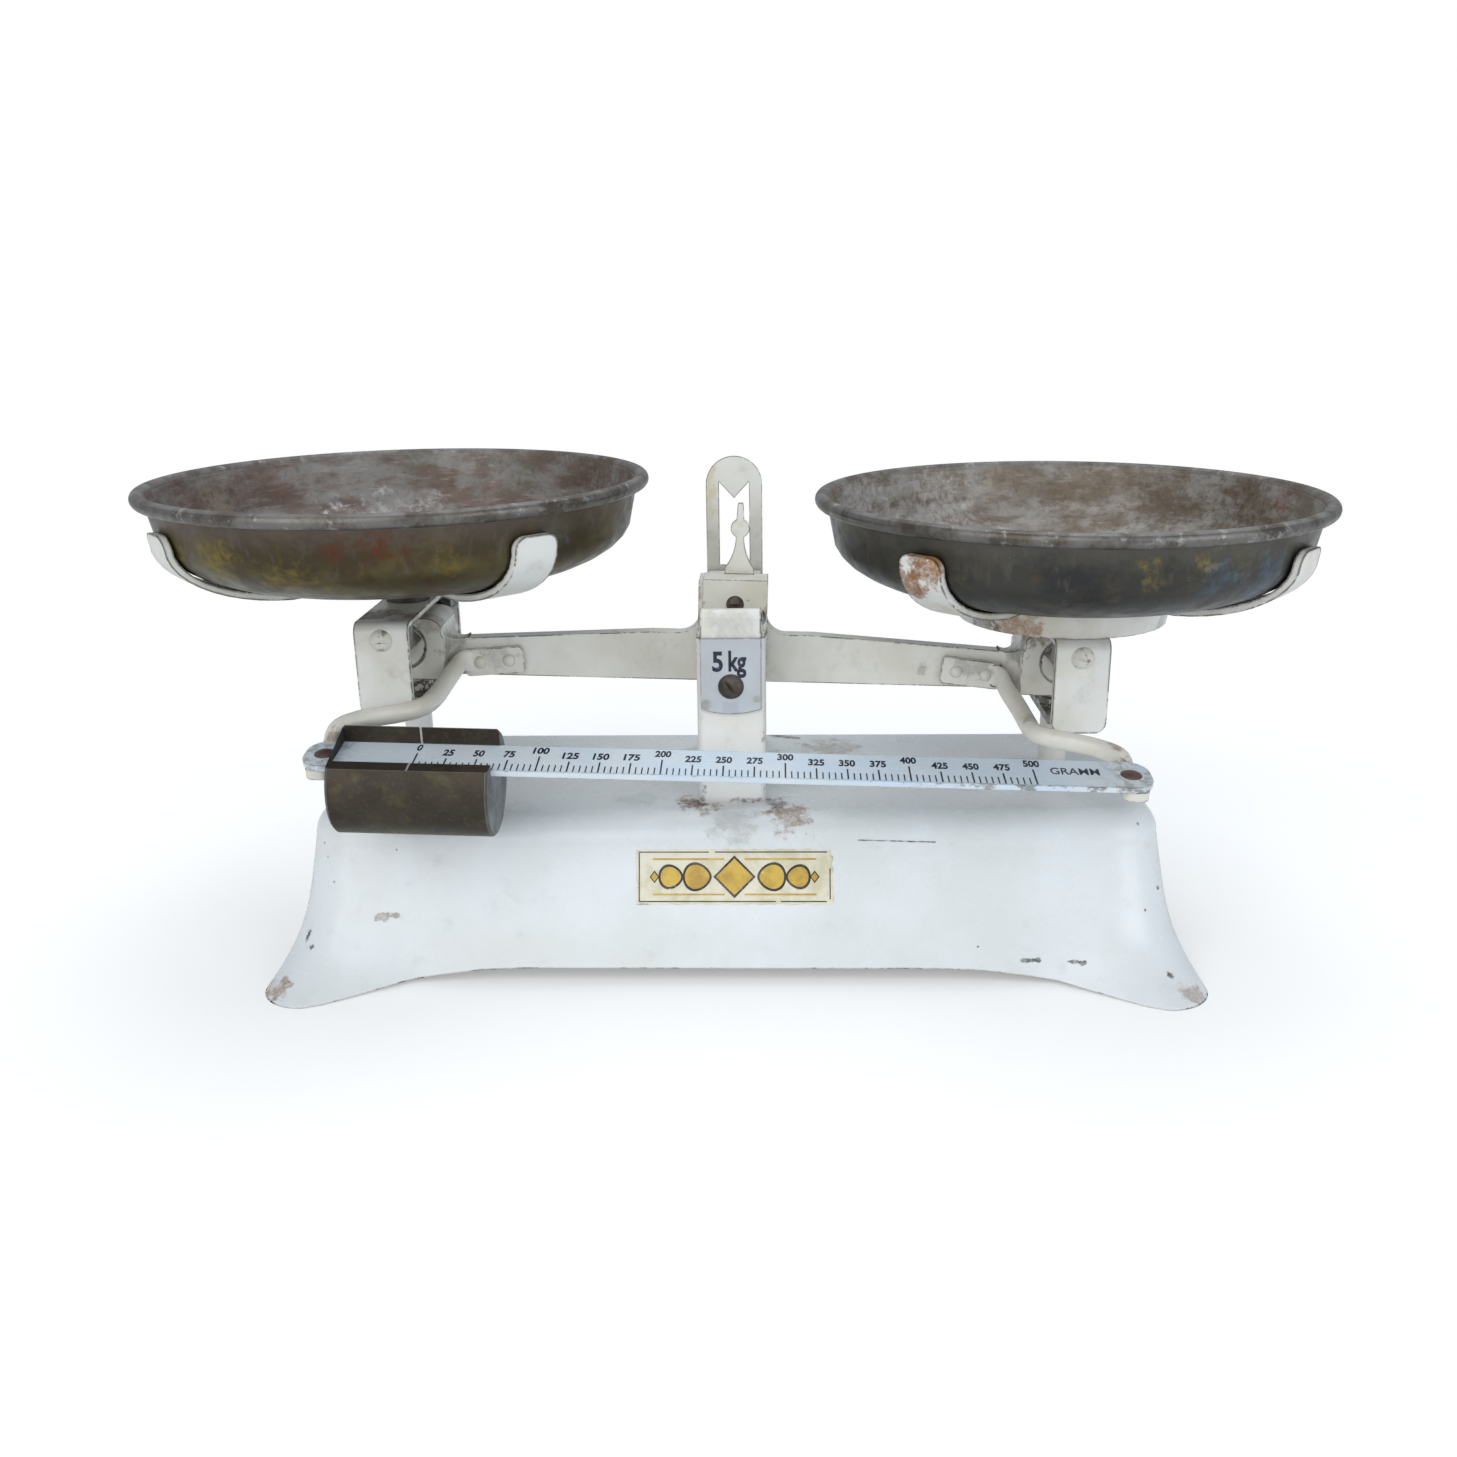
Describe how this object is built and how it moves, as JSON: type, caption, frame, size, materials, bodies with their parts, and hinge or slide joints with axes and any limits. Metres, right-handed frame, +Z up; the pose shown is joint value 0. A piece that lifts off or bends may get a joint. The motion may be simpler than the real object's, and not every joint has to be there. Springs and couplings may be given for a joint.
{
  "type": "kitchen balance scale",
  "caption": "Enamelled two-bowl kitchen balance: knife-edge beam over a box base, lift-off brass bowls on claw cradles, graduated bar with a sliding poise.",
  "frame": {"origin": "on the ground under the middle of the base", "axes": "+X along the beam to the right bowl, +Y to the rear, +Z up; the graduated bar is on the -Y side"},
  "size_m": [0.4198, 0.1801, 0.17],
  "materials": {
    "base_enamel": "gloss enamel, chipped and stained",
    "post_paint": "aged cream paint",
    "dark_steel": "dark, lightly rusted",
    "pin_steel": "dull",
    "bearing_steel": "dull",
    "capacity_enamel": "bluish white enamel",
    "screw_steel": "dark brown, worn",
    "frame_paint": "ivory paint, chipped",
    "beam_paint": "aged cream paint over cast iron, chipped",
    "pointer_paint": "yellowed cream paint",
    "knife_steel": "hardened and dull",
    "rod_paint": "glossy cream paint",
    "rivet_paint": "painted over",
    "bar_enamel": "pale blue white enamel, chipped along the edge",
    "bar_rivet_metal": "dark brown",
    "left_saddle_paint": "white paint, rusty on top",
    "right_saddle_paint": "white paint, chipped edges",
    "saddle_screw_metal": "dull grey",
    "yoke_steel": "dark",
    "stem_paint": "white paint",
    "disc_paint": "white paint, mostly rusted through",
    "left_claw_paint": "white paint",
    "right_claw_paint": "white paint, one strip rusty",
    "left_bowl_brass": "olive brown patina",
    "right_bowl_brass": "dark grey brown patina, silvery inside",
    "poise_bronze": "dark bronze patina"
  },
  "bodies": {
    "base": {"base_shell": "base_enamel", "post_front": "post_paint", "post_rear": "post_paint", "post_tie": "dark_steel", "tie_rivets": "post_paint", "curl_pins": "pin_steel", "centre_bearings": "bearing_steel", "capacity_plate": "capacity_enamel", "capacity_screw": "screw_steel", "index_frame": "frame_paint", "frame_screws": "screw_steel", "stay_bracket": "dark_steel", "stay_pivot": "pin_steel"},
    "beam": {"beam_casting": "beam_paint", "pointer": "pointer_paint", "pointer_screw": "screw_steel", "centre_knife": "knife_steel", "end_knives": "knife_steel", "left_rod": "rod_paint", "right_rod": "rod_paint", "rod_rivets": "rivet_paint", "scale_bar": "bar_enamel", "bar_rivets": "bar_rivet_metal"},
    "left_carrier": {"left_saddle": "left_saddle_paint", "left_bearings": "bearing_steel", "left_saddle_screws": "saddle_screw_metal", "left_yoke": "yoke_steel", "left_stem": "stem_paint", "left_stem_nut": "yoke_steel", "left_spacer": "dark_steel", "left_cradle": "left_claw_paint", "left_cradle_bolt": "screw_steel"},
    "right_carrier": {"right_saddle": "right_saddle_paint", "right_bearings": "bearing_steel", "right_saddle_screws": "saddle_screw_metal", "right_yoke": "yoke_steel", "right_stem": "stem_paint", "right_stem_nut": "yoke_steel", "counter_disc": "disc_paint", "right_cradle": "right_claw_paint", "right_cradle_bolt": "screw_steel"},
    "left_bowl": {"left_bowl": "left_bowl_brass"},
    "right_bowl": {"right_bowl": "right_bowl_brass"},
    "poise": {"poise": "poise_bronze", "poise_plug": "poise_bronze"},
    "stay": {"stay_bar": "dark_steel", "stay_pins": "pin_steel"}
  },
  "joints": [
    {"name": "beam_tilt", "type": "hinge", "parent": "base", "child": "beam", "pos_m": [0, 0, 0.1145], "axis": [0, 1, 0], "range_deg": [-5.1, 1.5]},
    {"name": "left_carrier_level", "type": "hinge", "parent": "beam", "child": "left_carrier", "pos_m": [-0.11994, 0, 0.11827], "axis": [0, 1, 0], "range_deg": [-1.5, 5.1]},
    {"name": "right_carrier_level", "type": "hinge", "parent": "beam", "child": "right_carrier", "pos_m": [0.11994, 0, 0.11073], "axis": [0, 1, 0], "range_deg": [-1.5, 5.1]},
    {"name": "stay_tilt", "type": "hinge", "parent": "base", "child": "stay", "pos_m": [0, 0, 0.02], "axis": [0, 1, 0], "range_deg": [-5.1, 1.5]},
    {"name": "left_bowl_lift", "type": "slide", "parent": "left_carrier", "child": "left_bowl", "axis": [0, 0, 1], "range_m": [0, 0.06]},
    {"name": "right_bowl_lift", "type": "slide", "parent": "right_carrier", "child": "right_bowl", "axis": [0, 0, 1], "range_m": [0, 0.06]},
    {"name": "poise_slide", "type": "slide", "parent": "beam", "child": "poise", "axis": [0.9995, 0, -0.0314], "range_m": [0, 0.2]}
  ],
  "couplings": [
    {"joint": "left_carrier_level", "follows": "beam_tilt", "ratio": -1},
    {"joint": "right_carrier_level", "follows": "beam_tilt", "ratio": -1},
    {"joint": "stay_tilt", "follows": "beam_tilt", "ratio": 1}
  ]
}
